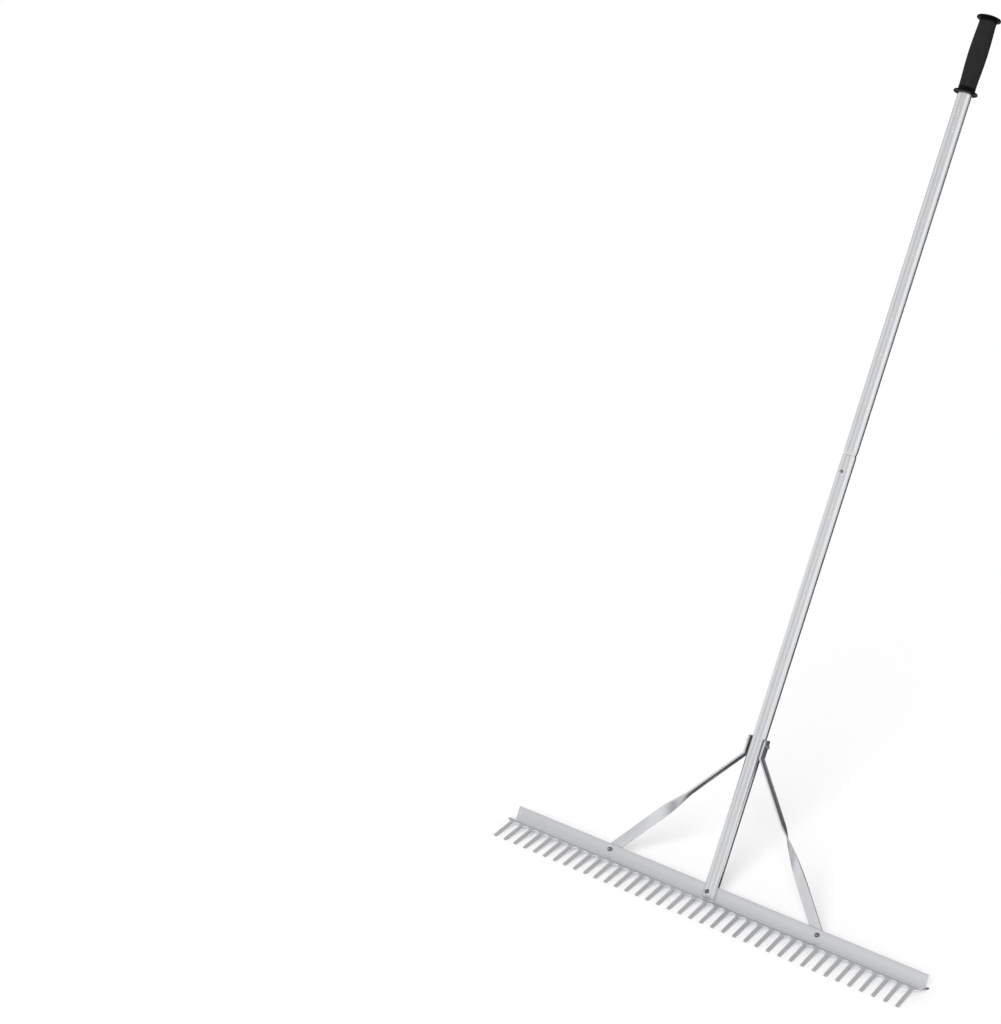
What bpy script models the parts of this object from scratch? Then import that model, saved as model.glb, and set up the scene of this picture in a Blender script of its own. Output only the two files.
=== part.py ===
"""Landscape rake: a T-section tined head, two braces, a two-piece tube handle and a grip.

Everything is modelled in the head's own frame and parented to an empty that leans the rake back
onto its blade edge and tine tips. In that frame X runs along the head, +Y points to the back,
+Z runs up the handle, and the origin is on the plate's top face under the tube's axis.
"""

import math

import bmesh
import bpy
from mathutils import Matrix, Vector

GAP = 0.0003

# Head extrusion
HEAD_LENGTH = 0.9144
TINE_COUNT = 38
TINE_WIDTH = 0.0069
WALL = 0.003
BLADE_REACH = 0.0239
FLANGE_HEIGHT = 0.0249
FRONT_BEND_FROM_AXIS = 0.0274
TINE_SLOPE = math.radians(32.4)
TINE_REACH = 0.0665
BEND_RADIUS_INSIDE = 0.009
CORNER_RADIUS = 0.001
ARCH_TOP_FROM_BEND = 0.0061

# Handle
TUBE_RADIUS = 0.0143
TUBE_WALL = 0.0016
TUBE_FOOT_HEIGHT = 0.0010
JOINT_RIM_HEIGHT = 0.896
JOINT_BOLT_BELOW_RIM = 0.0346
PLUG_LENGTH = 0.078
PLUG_TAPER = 0.007
HANDLE_TOP = 1.786

# Grip
GRIP_LENGTH = 0.1595
GRIP_ABOVE_TUBE = 0.0125
GRIP_NECK_RADIUS = 0.0171
GRIP_BELLY_RADIUS = 0.0191
GRIP_COLLAR_RADIUS = 0.0243
GRIP_COLLAR_THICKNESS = 0.0045
GRIP_DOME_RISE = 0.0035

# Braces
BRACE_WIDTH = 0.0215
BRACE_THICKNESS = 0.0035
BRACE_BEND_HEIGHT = 0.2868
TAB_LENGTH = 0.0365
BRACE_BEND_RADIUS = 0.0035
BRACE_FOOT_OFFSET = 0.2322
TWIST_START = 0.133
TWIST_LENGTH = 0.150
TWIST_EASE = 2.2
TWIST_ONSET = 1.4
TAB_CORNER_RADIUS = 0.004
SPACER_CROWN = 0.001
SPACER_RADIUS = 0.0055

# Fasteners
SHANK_RADIUS = 0.0024
HOLE_RADIUS = 0.00275
HEX_ACROSS_FLATS = 0.008
BOLT_HEAD_HEIGHT = 0.0035
NUT_HEIGHT = 0.0035
NUT_COLLAR_HEIGHT = 0.0015
NUT_COLLAR_RADIUS = 0.00385
INSERT_RADIUS = 0.0033
THREAD_BEYOND_NUT = 0.0008
HEAD_BOLT_BELOW_FLANGE_TOP = 0.0126
BRACE_BOLT_BELOW_FLANGE_TOP = 0.0109
TAB_BOLT_BELOW_TAB_TOP = 0.0123

# What follows from the sizes above
PITCH = HEAD_LENGTH / TINE_COUNT
SLOT_WIDTH = PITCH - TINE_WIDTH
GRIP_TOP = HANDLE_TOP + GRIP_ABOVE_TUBE
GRIP_BOTTOM = GRIP_TOP - GRIP_LENGTH
TAB_TOP_HEIGHT = BRACE_BEND_HEIGHT + TAB_LENGTH
TAB_BOLT_HEIGHT = TAB_TOP_HEIGHT - TAB_BOLT_BELOW_TAB_TOP
HEAD_BOLT_HEIGHT = FLANGE_HEIGHT - HEAD_BOLT_BELOW_FLANGE_TOP
BRACE_BOLT_HEIGHT = FLANGE_HEIGHT - BRACE_BOLT_BELOW_FLANGE_TOP
JOINT_BOLT_HEIGHT = JOINT_RIM_HEIGHT - JOINT_BOLT_BELOW_RIM
BRACE_FLAT_Y = WALL / 2 + GAP + BRACE_THICKNESS / 2
TAB_INNER_X = TUBE_RADIUS + SPACER_CROWN + 2 * GAP
TAB_OUTER_X = TAB_INNER_X + BRACE_THICKNESS


def clear_scene():
    """Remove whatever the file holds, so that a second run starts clean."""
    for item in list(bpy.data.objects):
        bpy.data.objects.remove(item, do_unlink=True)


def make_material(name, colour, roughness, metallic):
    """One Principled material."""
    material = bpy.data.materials.new(name)
    material.use_nodes = True
    shader = material.node_tree.nodes["Principled BSDF"]
    shader.inputs["Base Color"].default_value = (*colour, 1.0)
    shader.inputs["Roughness"].default_value = roughness
    shader.inputs["Metallic"].default_value = metallic
    return material


def new_object(name, mesh, parent, collection):
    """Put a mesh in the scene under the leaning frame."""
    item = bpy.data.objects.new(name, mesh)
    item.parent = parent
    collection.objects.link(item)
    return item


def mesh_from_bmesh(name, shape):
    """Turn a bmesh into a mesh whose faces point out."""
    bmesh.ops.recalc_face_normals(shape, faces=shape.faces)
    mesh = bpy.data.meshes.new(name)
    shape.to_mesh(mesh)
    shape.free()
    return mesh


def set_material(item, material):
    """Give an object its only material."""
    item.data.materials.clear()
    item.data.materials.append(material)


def activate(item):
    """Make an object the active and only selected one."""
    bpy.ops.object.select_all(action="DESELECT")
    bpy.context.view_layer.objects.active = item
    item.select_set(True)


def apply_modifiers(item):
    """Apply every modifier of an object in order."""
    activate(item)
    for modifier in list(item.modifiers):
        bpy.ops.object.modifier_apply(modifier=modifier.name)


def shade_round(item, degrees=35.0):
    """Smooth shading that keeps the hard edges."""
    activate(item)
    bpy.ops.object.shade_smooth()
    item.data.set_sharp_from_angle(angle=math.radians(degrees))


def arc(centre, radius, start, end, steps):
    """Points of an arc in a plane, both ends included, angles in radians."""
    points = []
    for step in range(steps + 1):
        angle = start + (end - start) * step / steps
        points.append((centre[0] + radius * math.cos(angle), centre[1] + radius * math.sin(angle)))
    return points


def bolt_axes(axis):
    """Rotation that turns local +Z onto the named direction."""
    return Vector((0, 0, 1)).rotation_difference(Vector(axis)).to_matrix().to_4x4()


def cutter_cylinder(name, radius, length, centre, axis, parent, hidden, segments=24):
    """A hole cutter, kept out of the part."""
    shape = bmesh.new()
    bmesh.ops.create_cone(
        shape, cap_ends=True, segments=segments, radius1=radius, radius2=radius, depth=length
    )
    shape.transform(Matrix.Translation(centre) @ bolt_axes(axis))
    return hide_cutter(new_object(name, mesh_from_bmesh(name, shape), parent, hidden))


def hide_cutter(item):
    """Mark an object as a cutter."""
    item.hide_render = True
    item.display_type = "WIRE"
    return item


def cut(item, cutters):
    """Subtract the cutters, then apply."""
    for cutter in cutters:
        modifier = item.modifiers.new("cut_" + cutter.name, "BOOLEAN")
        modifier.operation = "DIFFERENCE"
        modifier.solver = "EXACT"
        modifier.object = cutter
    apply_modifiers(item)


def head_profile():
    """Outline of the extrusion across the head, as (y, z), going round once."""
    half = WALL / 2
    slope = TINE_SLOPE
    along = Vector((-math.cos(slope), -math.sin(slope)))
    bend = Vector((-FRONT_BEND_FROM_AXIS, 0.0))
    outer = BEND_RADIUS_INSIDE + WALL
    run = outer * math.tan(slope / 2)
    centre = (bend.x + run, -outer)
    tip_top = bend + along * TINE_REACH
    tip_bottom = tip_top + Vector((math.sin(slope), -math.cos(slope))) * WALL
    r = CORNER_RADIUS
    points = [(BLADE_REACH, -WALL), (BLADE_REACH, 0.0)]
    points += arc((half + r, r), r, -math.pi / 2, -math.pi, 4)
    points += [(half, FLANGE_HEIGHT), (-half, FLANGE_HEIGHT)]
    points += arc((-half - r, r), r, 0.0, -math.pi / 2, 4)
    points += arc(centre, outer, math.pi / 2, math.pi / 2 + slope, 5)
    points += [tuple(tip_top), tuple(tip_bottom)]
    points += arc(centre, BEND_RADIUS_INSIDE, math.pi / 2 + slope, math.pi / 2, 5)
    return points


def slot_cutters(parent, hidden):
    """All the tine gaps as round-topped slabs square to the tines, half ones at the ends."""
    slope = TINE_SLOPE
    down = Vector((0, -math.cos(slope), -math.sin(slope)))
    out = Vector((0, -math.sin(slope), math.cos(slope)))
    bend = Vector((0, -FRONT_BEND_FROM_AXIS, 0.0))
    radius = SLOT_WIDTH / 2
    outline = arc((0.0, -ARCH_TOP_FROM_BEND - radius), radius, 0.0, math.pi, 14)
    outline += [(-radius, -TINE_REACH - 0.01), (radius, -TINE_REACH - 0.01)]
    frame = Matrix((
        (1, 0, 0, 0),
        (0, -down.y, out.y, bend.y),
        (0, -down.z, out.z, bend.z),
        (0, 0, 0, 1),
    ))
    shape = bmesh.new()
    for index in range(TINE_COUNT + 1):
        offset = (index - TINE_COUNT / 2) * PITCH
        ring = [shape.verts.new(frame @ Vector((offset + u, v, -0.02))) for u, v in outline]
        face = shape.faces.new(ring)
        grown = bmesh.ops.extrude_face_region(shape, geom=[face])
        moved = [part for part in grown["geom"] if isinstance(part, bmesh.types.BMVert)]
        bmesh.ops.translate(shape, verts=moved, vec=out * 0.035)
    return hide_cutter(new_object("slot_cutter", mesh_from_bmesh("slot_cutter", shape), parent, hidden))


def build_head(parent, collection, hidden, material):
    """The tined extrusion, with the three bolt holes of its flange."""
    shape = bmesh.new()
    ring = [shape.verts.new((-HEAD_LENGTH / 2, y, z)) for y, z in head_profile()]
    face = shape.faces.new(ring)
    grown = bmesh.ops.extrude_face_region(shape, geom=[face])
    moved = [part for part in grown["geom"] if isinstance(part, bmesh.types.BMVert)]
    bmesh.ops.translate(shape, verts=moved, vec=(HEAD_LENGTH, 0, 0))
    head = new_object("rake_head", mesh_from_bmesh("rake_head", shape), parent, collection)
    cutters = [slot_cutters(parent, hidden)]
    for name, x, z in (
        ("flange_hole_middle", 0.0, HEAD_BOLT_HEIGHT),
        ("flange_hole_left", -BRACE_FOOT_OFFSET, BRACE_BOLT_HEIGHT),
        ("flange_hole_right", BRACE_FOOT_OFFSET, BRACE_BOLT_HEIGHT),
    ):
        cutters.append(cutter_cylinder(name, HOLE_RADIUS, 0.02, (x, 0, z), (0, 1, 0), parent, hidden))
    cut(head, cutters)
    set_material(head, material)
    shade_round(head)
    return head


def turned(name, profile, parent, collection, steps=48):
    """A closed (radius, height) outline revolved about Z with a Screw modifier."""
    mesh = bpy.data.meshes.new(name)
    count = len(profile)
    mesh.from_pydata(
        [(radius, 0.0, height) for radius, height in profile],
        [(index, (index + 1) % count) for index in range(count)],
        [],
    )
    item = new_object(name, mesh, parent, collection)
    screw = item.modifiers.new("turn", "SCREW")
    screw.axis = "Z"
    screw.steps = steps
    screw.render_steps = steps
    screw.use_merge_vertices = True
    screw.merge_threshold = 0.00001
    apply_modifiers(item)
    shape = bmesh.new()
    shape.from_mesh(item.data)
    bmesh.ops.recalc_face_normals(shape, faces=shape.faces)
    shape.to_mesh(item.data)
    shape.free()
    return item


def build_lower_tube(parent, collection, hidden, material):
    """Lower tube, slotted at its foot to straddle the flange."""
    inner = TUBE_RADIUS - TUBE_WALL
    tube = turned(
        "handle_lower_tube",
        [
            (TUBE_RADIUS, JOINT_RIM_HEIGHT),
            (TUBE_RADIUS, TUBE_FOOT_HEIGHT),
            (inner, TUBE_FOOT_HEIGHT),
            (inner, JOINT_RIM_HEIGHT),
        ],
        parent,
        collection,
    )
    slot = bmesh.new()
    bmesh.ops.create_cube(slot, size=1.0)
    top = FLANGE_HEIGHT + GAP
    slot.transform(
        Matrix.Translation((0, 0, (top - 0.01) / 2))
        @ Matrix.Diagonal((4 * TUBE_RADIUS, WALL + 2 * GAP, top + 0.01, 1))
    )
    slot_cutter = hide_cutter(new_object("foot_slot", mesh_from_bmesh("foot_slot", slot), parent, hidden))
    cut(tube, [
        slot_cutter,
        cutter_cylinder("foot_hole", HOLE_RADIUS, 0.05, (0, 0, HEAD_BOLT_HEIGHT), (0, 1, 0), parent, hidden),
        cutter_cylinder("tab_hole", HOLE_RADIUS, 0.05, (0, 0, TAB_BOLT_HEIGHT), (1, 0, 0), parent, hidden),
        cutter_cylinder("joint_hole", HOLE_RADIUS, 0.05, (0, 0, JOINT_BOLT_HEIGHT), (0, 1, 0), parent, hidden),
    ])
    set_material(tube, material)
    shade_round(tube)
    return tube


def build_upper_tube(parent, collection, hidden, material):
    """Upper tube, its lower end drawn in to plug into the lower tube."""
    inner = TUBE_RADIUS - TUBE_WALL
    plug = inner - GAP
    foot = JOINT_RIM_HEIGHT - PLUG_LENGTH
    shoulder = JOINT_RIM_HEIGHT + GAP
    tube = turned(
        "handle_upper_tube",
        [
            (TUBE_RADIUS, HANDLE_TOP),
            (TUBE_RADIUS, shoulder + PLUG_TAPER),
            (plug, shoulder),
            (plug, foot),
            (plug - TUBE_WALL, foot),
            (plug - TUBE_WALL, shoulder + TUBE_WALL / 2),
            (inner, shoulder + PLUG_TAPER + TUBE_WALL / 2),
            (inner, HANDLE_TOP),
        ],
        parent,
        collection,
    )
    cut(tube, [
        cutter_cylinder("plug_hole", HOLE_RADIUS, 0.05, (0, 0, JOINT_BOLT_HEIGHT), (0, 1, 0), parent, hidden),
    ])
    set_material(tube, material)
    shade_round(tube, 25.0)
    return tube


def grip_profile():
    """Outline of the grip as (radius, height), its bore last."""
    bore = TUBE_RADIUS + GAP
    low = GRIP_BOTTOM
    high = GRIP_TOP - GRIP_DOME_RISE
    neck = GRIP_NECK_RADIUS
    rim = GRIP_COLLAR_RADIUS
    outline = [
        (bore, low + 0.0022),
        (neck, low + 0.0022),
        (rim - 0.0010, low),
        (rim, low + 0.0009),
        (rim, low + 0.0024),
        (rim - 0.0010, low + 0.0036),
        (neck + 0.0028, low + 0.0047),
        (neck + 0.0008, low + 0.0066),
        (neck, low + 0.0100),
    ]
    start = low + 0.022
    end = high - GRIP_COLLAR_THICKNESS - 0.010
    for step in range(11):
        swell = math.sin(math.pi * step / 10) ** 1.2
        radius = neck + (GRIP_BELLY_RADIUS - neck) * swell
        outline.append((radius, start + (end - start) * step / 10))
    under = high - GRIP_COLLAR_THICKNESS
    outline += [
        (neck + 0.0005, under - 0.0028),
        (neck + 0.0020, under - 0.0011),
        (rim - 0.0014, under),
        (rim - 0.0003, under + 0.0008),
        (rim, high - 0.0020),
        (rim - 0.0003, high - 0.0008),
        (rim - 0.0014, high),
        (rim * 0.78, high + 0.0011),
        (rim * 0.55, high + 0.0022),
        (rim * 0.28, high + 0.0031),
        (0.0, GRIP_TOP),
        (0.0, HANDLE_TOP + GAP),
        (bore, HANDLE_TOP + GAP),
    ]
    return outline


def build_grip(parent, collection, material):
    """Moulded grip: a swelling sleeve between two thin dished collars, closed at the top."""
    grip = turned("grip", list(reversed(grip_profile())), parent, collection, 40)
    set_material(grip, material)
    shade_round(grip, 50.0)
    return grip


def brace_stations(side):
    """Centre, width direction, thickness direction and half width along one brace, top to foot."""
    tab_x = TAB_INNER_X + BRACE_THICKNESS / 2
    bend = Vector((tab_x, 0, BRACE_BEND_HEIGHT))
    foot = Vector((BRACE_FOOT_OFFSET, BRACE_FLAT_Y, BRACE_BOLT_HEIGHT))
    span = foot - bend
    length = span.length
    run = span.normalized()
    lean = math.atan2(span.x, -span.z)
    easing = BRACE_BEND_RADIUS * math.tan(lean / 2)
    half = BRACE_WIDTH / 2
    stations = []

    def add(point, twist, tilt, half_width):
        outward = Vector((math.cos(tilt), 0, math.sin(tilt)))
        back = Vector((0, 1, 0))
        normal = outward * math.cos(twist) + back * math.sin(twist)
        width = back * math.cos(twist) - outward * math.sin(twist)
        mirror = Vector((side, 1, 1))
        stations.append((point * mirror, width * mirror, normal * mirror, half_width))

    r = TAB_CORNER_RADIUS
    for step in range(6):
        angle = math.pi / 2 * step / 5
        drop = r * (1 - math.cos(angle))
        add(Vector((tab_x, 0, TAB_TOP_HEIGHT - drop)), 0.0, 0.0, half - r + r * math.sin(angle))
    pivot = Vector((tab_x + BRACE_BEND_RADIUS, 0, BRACE_BEND_HEIGHT + easing))
    for step in range(7):
        tilt = lean * step / 6
        offset = Vector((-math.cos(tilt), 0, -math.sin(tilt))) * BRACE_BEND_RADIUS
        add(pivot + offset, 0.0, tilt, half)
    for step in range(25):
        share = step / 24
        early = 1 - (1 - share) ** TWIST_EASE
        eased = early ** TWIST_ONSET
        add(bend + run * (TWIST_START + TWIST_LENGTH * share), math.pi / 2 * eased, lean, half)
    for step in range(9):
        angle = math.pi / 2 * step / 9
        add(bend + run * (length + half * math.sin(angle)), math.pi / 2, lean, half * math.cos(angle))
    return stations


def build_brace(name, side, parent, collection, hidden, material):
    """One flat bar: tab, bend, quarter twist, and a foot rounded about its bolt."""
    t = BRACE_THICKNESS / 2
    ease = 0.0003
    shape = bmesh.new()
    rings = []
    for centre, width, normal, half in brace_stations(side):
        section = (
            (-half, -t + ease), (-half + ease, -t), (half - ease, -t), (half, -t + ease),
            (half, t - ease), (half - ease, t), (-half + ease, t), (-half, t - ease),
        )
        rings.append([shape.verts.new(centre + width * u + normal * v) for u, v in section])
    for upper, lower in zip(rings, rings[1:]):
        for index in range(8):
            following = (index + 1) % 8
            shape.faces.new((upper[index], upper[following], lower[following], lower[index]))
    shape.faces.new(rings[0])
    shape.faces.new(list(reversed(rings[-1])))
    brace = new_object(name, mesh_from_bmesh(name, shape), parent, collection)
    cut(brace, [
        cutter_cylinder(
            name + "_tab_hole", HOLE_RADIUS, 0.02,
            (side * (TAB_INNER_X + t), 0, TAB_BOLT_HEIGHT), (1, 0, 0), parent, hidden,
        ),
        cutter_cylinder(
            name + "_foot_hole", HOLE_RADIUS, 0.02,
            (side * BRACE_FOOT_OFFSET, BRACE_FLAT_Y, BRACE_BOLT_HEIGHT), (0, 1, 0), parent, hidden,
        ),
    ])
    set_material(brace, material)
    shade_round(brace, 40.0)
    return brace


def build_spacer(name, side, parent, collection, hidden, material):
    """Washer hollowed to the tube on one face and flat on the other, so that the tab seats."""
    inner = TUBE_RADIUS + GAP
    depth = TAB_INNER_X - GAP - inner + 0.0016
    shape = bmesh.new()
    bmesh.ops.create_cone(
        shape, cap_ends=True, segments=32, radius1=SPACER_RADIUS, radius2=SPACER_RADIUS, depth=depth
    )
    middle = TAB_INNER_X - GAP - depth / 2
    shape.transform(Matrix.Translation((side * middle, 0, TAB_BOLT_HEIGHT)) @ bolt_axes((side, 0, 0)))
    spacer = new_object(name, mesh_from_bmesh(name, shape), parent, collection)
    cut(spacer, [
        cutter_cylinder(
            name + "_saddle", inner, 0.04, (0, 0, TAB_BOLT_HEIGHT), (0, 0, 1), parent, hidden, 96
        ),
        cutter_cylinder(
            name + "_hole", HOLE_RADIUS, 0.02,
            (side * middle, 0, TAB_BOLT_HEIGHT), (1, 0, 0), parent, hidden,
        ),
    ])
    set_material(spacer, material)
    shade_round(spacer)
    return spacer


def build_bolt(name, seat, axis, grip_length, parent, collection, material):
    """Hex bolt: its head seats at the given point and the shank runs along the axis."""
    reach = grip_length + NUT_HEIGHT + NUT_COLLAR_HEIGHT + THREAD_BEYOND_NUT
    shape = bmesh.new()
    bmesh.ops.create_cone(
        shape, cap_ends=True, segments=6, radius1=HEX_ACROSS_FLATS / math.sqrt(3),
        radius2=HEX_ACROSS_FLATS / math.sqrt(3), depth=BOLT_HEAD_HEIGHT,
    )
    shape.transform(Matrix.Translation((0, 0, -BOLT_HEAD_HEIGHT / 2)))
    bolt = new_object(name, mesh_from_bmesh(name, shape), parent, collection)
    shank = bmesh.new()
    bmesh.ops.create_cone(
        shank, cap_ends=True, segments=24, radius1=SHANK_RADIUS, radius2=SHANK_RADIUS,
        depth=reach + BOLT_HEAD_HEIGHT / 2,
    )
    shank.transform(Matrix.Translation((0, 0, (reach - BOLT_HEAD_HEIGHT / 2) / 2)))
    stem = new_object(name + "_shank", mesh_from_bmesh(name + "_shank", shank), parent, collection)
    join = bolt.modifiers.new("shank", "BOOLEAN")
    join.operation = "UNION"
    join.solver = "EXACT"
    join.object = stem
    apply_modifiers(bolt)
    bpy.data.objects.remove(stem, do_unlink=True)
    bolt.matrix_local = Matrix.Translation(seat) @ bolt_axes(axis)
    set_material(bolt, material)
    shade_round(bolt)
    return bolt


def build_nut(name, seat, axis, parent, collection, material):
    """Hex lock nut: a hexagon with a round collar that holds the nylon ring."""
    shape = bmesh.new()
    bmesh.ops.create_cone(
        shape, cap_ends=True, segments=6, radius1=HEX_ACROSS_FLATS / math.sqrt(3),
        radius2=HEX_ACROSS_FLATS / math.sqrt(3), depth=NUT_HEIGHT,
    )
    shape.transform(Matrix.Translation((0, 0, NUT_HEIGHT / 2)))
    nut = new_object(name, mesh_from_bmesh(name, shape), parent, collection)
    collar = turned(
        name + "_collar",
        [
            (NUT_COLLAR_RADIUS, NUT_HEIGHT / 2),
            (NUT_COLLAR_RADIUS, NUT_HEIGHT + NUT_COLLAR_HEIGHT * 0.6),
            (INSERT_RADIUS + GAP, NUT_HEIGHT + NUT_COLLAR_HEIGHT),
            (0.0, NUT_HEIGHT + NUT_COLLAR_HEIGHT),
            (0.0, NUT_HEIGHT / 2),
        ],
        parent, collection, 24,
    )
    bore = turned(
        name + "_bore",
        [
            (SHANK_RADIUS + GAP, -0.001),
            (SHANK_RADIUS + GAP, NUT_HEIGHT - GAP),
            (INSERT_RADIUS + GAP, NUT_HEIGHT - GAP),
            (INSERT_RADIUS + GAP, NUT_HEIGHT + NUT_COLLAR_HEIGHT - GAP),
            (INSERT_RADIUS, NUT_HEIGHT + NUT_COLLAR_HEIGHT - GAP),
            (INSERT_RADIUS, NUT_HEIGHT + NUT_COLLAR_HEIGHT + 0.001),
            (0.0, NUT_HEIGHT + NUT_COLLAR_HEIGHT + 0.001),
            (0.0, -0.001),
        ],
        parent, collection, 24,
    )
    for other, operation in ((collar, "UNION"), (bore, "DIFFERENCE")):
        modifier = nut.modifiers.new(operation.lower(), "BOOLEAN")
        modifier.operation = operation
        modifier.solver = "EXACT"
        modifier.object = other
    apply_modifiers(nut)
    for helper in (collar, bore):
        bpy.data.objects.remove(helper, do_unlink=True)
    nut.matrix_local = Matrix.Translation(seat) @ bolt_axes(axis)
    set_material(nut, material)
    shade_round(nut)
    return nut


def build_insert(name, seat, axis, parent, collection, material):
    """Nylon ring in the nut's collar."""
    ring = turned(
        name,
        [
            (INSERT_RADIUS, NUT_HEIGHT + NUT_COLLAR_HEIGHT - 2 * GAP),
            (INSERT_RADIUS, NUT_HEIGHT),
            (SHANK_RADIUS + GAP, NUT_HEIGHT),
            (SHANK_RADIUS + GAP, NUT_HEIGHT + NUT_COLLAR_HEIGHT - 2 * GAP),
        ],
        parent, collection, 24,
    )
    ring.matrix_local = Matrix.Translation(seat) @ bolt_axes(axis)
    set_material(ring, material)
    shade_round(ring)
    return ring


def build_fastening(names, head_seat, nut_seat, parent, collection, steel, nylon):
    """A bolt, its lock nut and the nut's ring, from the two faces that they clamp."""
    start = Vector(head_seat)
    end = Vector(nut_seat)
    axis = (end - start).normalized()
    build_bolt(names[0], start - axis * GAP, axis, (end - start).length + 2 * GAP, parent, collection, steel)
    build_nut(names[1], end + axis * GAP, axis, parent, collection, steel)
    build_insert(names[2], end + axis * GAP, axis, parent, collection, nylon)


def build_fasteners(parent, collection, steel, nylon):
    """Every bolt of the rake."""
    sides = (("left", -1), ("right", 1))
    back = BRACE_FLAT_Y + BRACE_THICKNESS / 2
    for word, side in sides:
        x = side * BRACE_FOOT_OFFSET
        build_fastening(
            ("brace_bolt_" + word, "brace_lock_nut_" + word, "brace_nut_insert_" + word),
            (x, back, BRACE_BOLT_HEIGHT), (x, -WALL / 2, BRACE_BOLT_HEIGHT),
            parent, collection, steel, nylon,
        )
    build_fastening(
        ("head_bolt", "head_lock_nut", "head_nut_insert"),
        (0, TUBE_RADIUS, HEAD_BOLT_HEIGHT), (0, -TUBE_RADIUS, HEAD_BOLT_HEIGHT),
        parent, collection, steel, nylon,
    )
    build_fastening(
        ("joint_bolt", "joint_lock_nut", "joint_nut_insert"),
        (0, TUBE_RADIUS, JOINT_BOLT_HEIGHT), (0, -TUBE_RADIUS, JOINT_BOLT_HEIGHT),
        parent, collection, steel, nylon,
    )
    build_fastening(
        ("tab_bolt", "tab_lock_nut", "tab_nut_insert"),
        (-TAB_OUTER_X, 0, TAB_BOLT_HEIGHT), (TAB_OUTER_X, 0, TAB_BOLT_HEIGHT),
        parent, collection, steel, nylon,
    )


def leaning_frame(collection):
    """Empty that leans the rake back until blade edge and tine tips share one floor."""
    slope = TINE_SLOPE
    blade = Vector((BLADE_REACH, -WALL))
    tip = Vector((-FRONT_BEND_FROM_AXIS, 0)) + Vector((-math.cos(slope), -math.sin(slope))) * TINE_REACH
    tip += Vector((math.sin(slope), -math.cos(slope))) * WALL
    lean = math.atan2(blade.y - tip.y, blade.x - tip.x)
    floor = -blade.x * math.sin(lean) + blade.y * math.cos(lean)
    front = min(math.cos(lean) * y + math.sin(lean) * z for y, z in head_profile())
    back = max(math.cos(lean) * radius + math.sin(lean) * height for radius, height in grip_profile())
    frame = bpy.data.objects.new("rest_pose", None)
    frame.location = (0, -(front + back) / 2, -floor)
    frame.rotation_euler = (-lean, 0, 0)
    collection.objects.link(frame)
    return frame


def main():
    """Build the whole rake."""
    clear_scene()
    collection = bpy.data.collections.new("landscape_rake")
    hidden = bpy.data.collections.new("cutters")
    bpy.context.scene.collection.children.link(collection)
    bpy.context.scene.collection.children.link(hidden)
    frame = leaning_frame(collection)
    aluminium = make_material("satin_aluminium", (0.62, 0.63, 0.66), 0.42, 0.85)
    tube_metal = make_material("anodised_tube", (0.60, 0.61, 0.64), 0.33, 0.9)
    steel = make_material("zinc_steel", (0.42, 0.42, 0.43), 0.35, 1.0)
    nylon = make_material("nylon", (0.05, 0.05, 0.06), 0.6, 0.0)
    rubber = make_material("grip_rubber", (0.018, 0.018, 0.019), 0.55, 0.0)
    build_head(frame, collection, hidden, aluminium)
    build_lower_tube(frame, collection, hidden, tube_metal)
    build_upper_tube(frame, collection, hidden, tube_metal)
    build_grip(frame, collection, rubber)
    for word, side in (("left", -1), ("right", 1)):
        build_brace("brace_" + word, side, frame, collection, hidden, aluminium)
        build_spacer("tab_spacer_" + word, side, frame, collection, hidden, aluminium)
    build_fasteners(frame, collection, steel, nylon)


main()
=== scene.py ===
"""Landscape rake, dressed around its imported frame.

Every new piece is worked out in the rake's own axes and then leaned back onto the floor: x runs
along the head, y points to the back, z runs up the handle, and the origin is on the top face of the
plate under the handle's axis. Lengths are in metres.
"""

import logging
import math
from dataclasses import dataclass, field
from enum import Enum
from typing import Any, Dict, List, Optional, Sequence, Tuple, Union

import bmesh
import bpy
import numpy as np
from mathutils import Matrix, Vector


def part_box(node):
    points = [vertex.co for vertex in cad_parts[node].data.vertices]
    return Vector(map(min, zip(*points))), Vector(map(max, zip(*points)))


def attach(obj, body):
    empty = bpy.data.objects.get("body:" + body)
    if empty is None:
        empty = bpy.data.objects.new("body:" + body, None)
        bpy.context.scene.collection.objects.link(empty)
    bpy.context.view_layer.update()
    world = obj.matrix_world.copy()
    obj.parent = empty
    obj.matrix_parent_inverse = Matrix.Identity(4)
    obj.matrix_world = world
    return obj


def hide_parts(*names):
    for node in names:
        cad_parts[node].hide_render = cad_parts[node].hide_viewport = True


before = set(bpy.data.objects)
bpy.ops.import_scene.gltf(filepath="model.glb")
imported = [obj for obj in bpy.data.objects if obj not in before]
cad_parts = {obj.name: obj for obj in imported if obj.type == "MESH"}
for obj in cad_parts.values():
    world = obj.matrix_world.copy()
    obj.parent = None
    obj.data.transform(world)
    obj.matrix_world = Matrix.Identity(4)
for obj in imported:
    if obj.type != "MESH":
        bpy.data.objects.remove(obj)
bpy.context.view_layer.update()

LOG = logging.getLogger("landscape_rake")
QUARTER = math.pi / 2
FULL = 2 * math.pi

Array = np.ndarray
Triple = Tuple[float, float, float]


# ---- stance


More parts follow.
